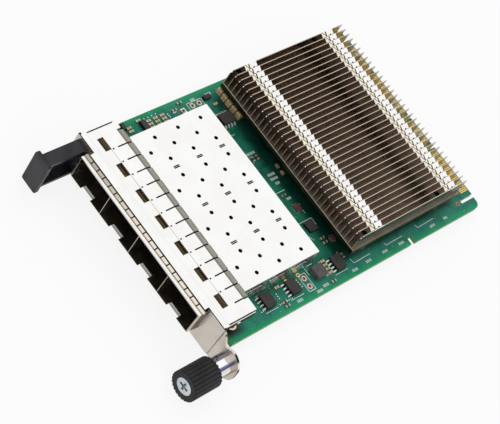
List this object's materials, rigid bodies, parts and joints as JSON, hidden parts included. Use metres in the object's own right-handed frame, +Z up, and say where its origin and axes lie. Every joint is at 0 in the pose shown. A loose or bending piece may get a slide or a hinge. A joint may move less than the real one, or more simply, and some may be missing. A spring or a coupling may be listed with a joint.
{
  "type": "mezzanine network card",
  "caption": "Network card with a port cage behind a steel face bracket, a finned heatsink, a card edge, a pull tab and a captive thumbscrew.",
  "frame": {"origin": "middle of the card edge's end face, halfway up the board", "axes": "+X across the card towards the thumbscrew, +Y along the card from the ports to the card edge, +Z up from the component side"},
  "size_m": [0.0845, 0.1376, 0.0159],
  "materials": {
    "board_green": "satin solder mask over glass-epoxy board",
    "contact_gold": "bright plated",
    "cage_nickel": "bright nickel plate",
    "spring_nickel": "bright nickel plate",
    "bracket_nickel": "satin nickel plate",
    "connector_black": "moulded",
    "tab_black": "moulded",
    "knob_black": "moulded",
    "steel_plain": "plain",
    "sleeve_chrome": "polished",
    "heatsink_base": "satin",
    "heatsink_fins": "satin",
    "screw_copper": "plated",
    "chip_black": "moulded",
    "thermal_pad": "soft",
    "leg_tin": "tinned",
    "capacitor_tan": "fired",
    "resistor_dark": "fired",
    "inductor_black": "ferrite"
  },
  "bodies": {
    "root": {"circuit_board": "board_green", "edge_contacts": "contact_gold", "cage_cover": "cage_nickel", "cage_dividers": "cage_nickel", "cage_floor": "cage_nickel", "cage_spring_collar": "spring_nickel", "port_connectors": "connector_black", "face_bracket": "bracket_nickel", "finger_strip": "spring_nickel", "pull_tab": "tab_black", "pull_tab_rivet": "steel_plain", "thumbscrew_sleeve": "sleeve_chrome", "thumbscrew_spring": "steel_plain", "heatsink_base": "heatsink_base", "heatsink_fins": "heatsink_fins", "heatsink_screws": "steel_plain", "bracket_screws": "screw_copper", "controller_chip": "chip_black", "thermal_pad": "thermal_pad", "eight_pin_chips": "chip_black", "chip_legs": "leg_tin", "block_capacitors": "capacitor_tan", "tan_capacitors": "capacitor_tan", "dark_resistors": "resistor_dark", "flat_chip": "chip_black", "power_inductor": "inductor_black", "corner_diode": "chip_black", "array_part": "chip_black", "transistor": "chip_black"},
    "screw_slider": {"thumbscrew_washer": "steel_plain"},
    "thumbscrew": {"thumbscrew_knob": "knob_black", "thumbscrew_screw": "steel_plain"}
  },
  "joints": [
    {"name": "thumbscrew_press", "type": "slide", "parent": "root", "child": "screw_slider", "axis": [0, 1, 0], "range_m": [0, 0.005], "stiffness_N_per_m": 600, "springref_m": -0.004, "deforming": ["thumbscrew_spring"]},
    {"name": "thumbscrew_turn", "type": "hinge", "parent": "screw_slider", "child": "thumbscrew", "pos_m": [0.04175, -0.127, 0.00148], "axis": [0, 1, 0], "continuous": true}
  ]
}
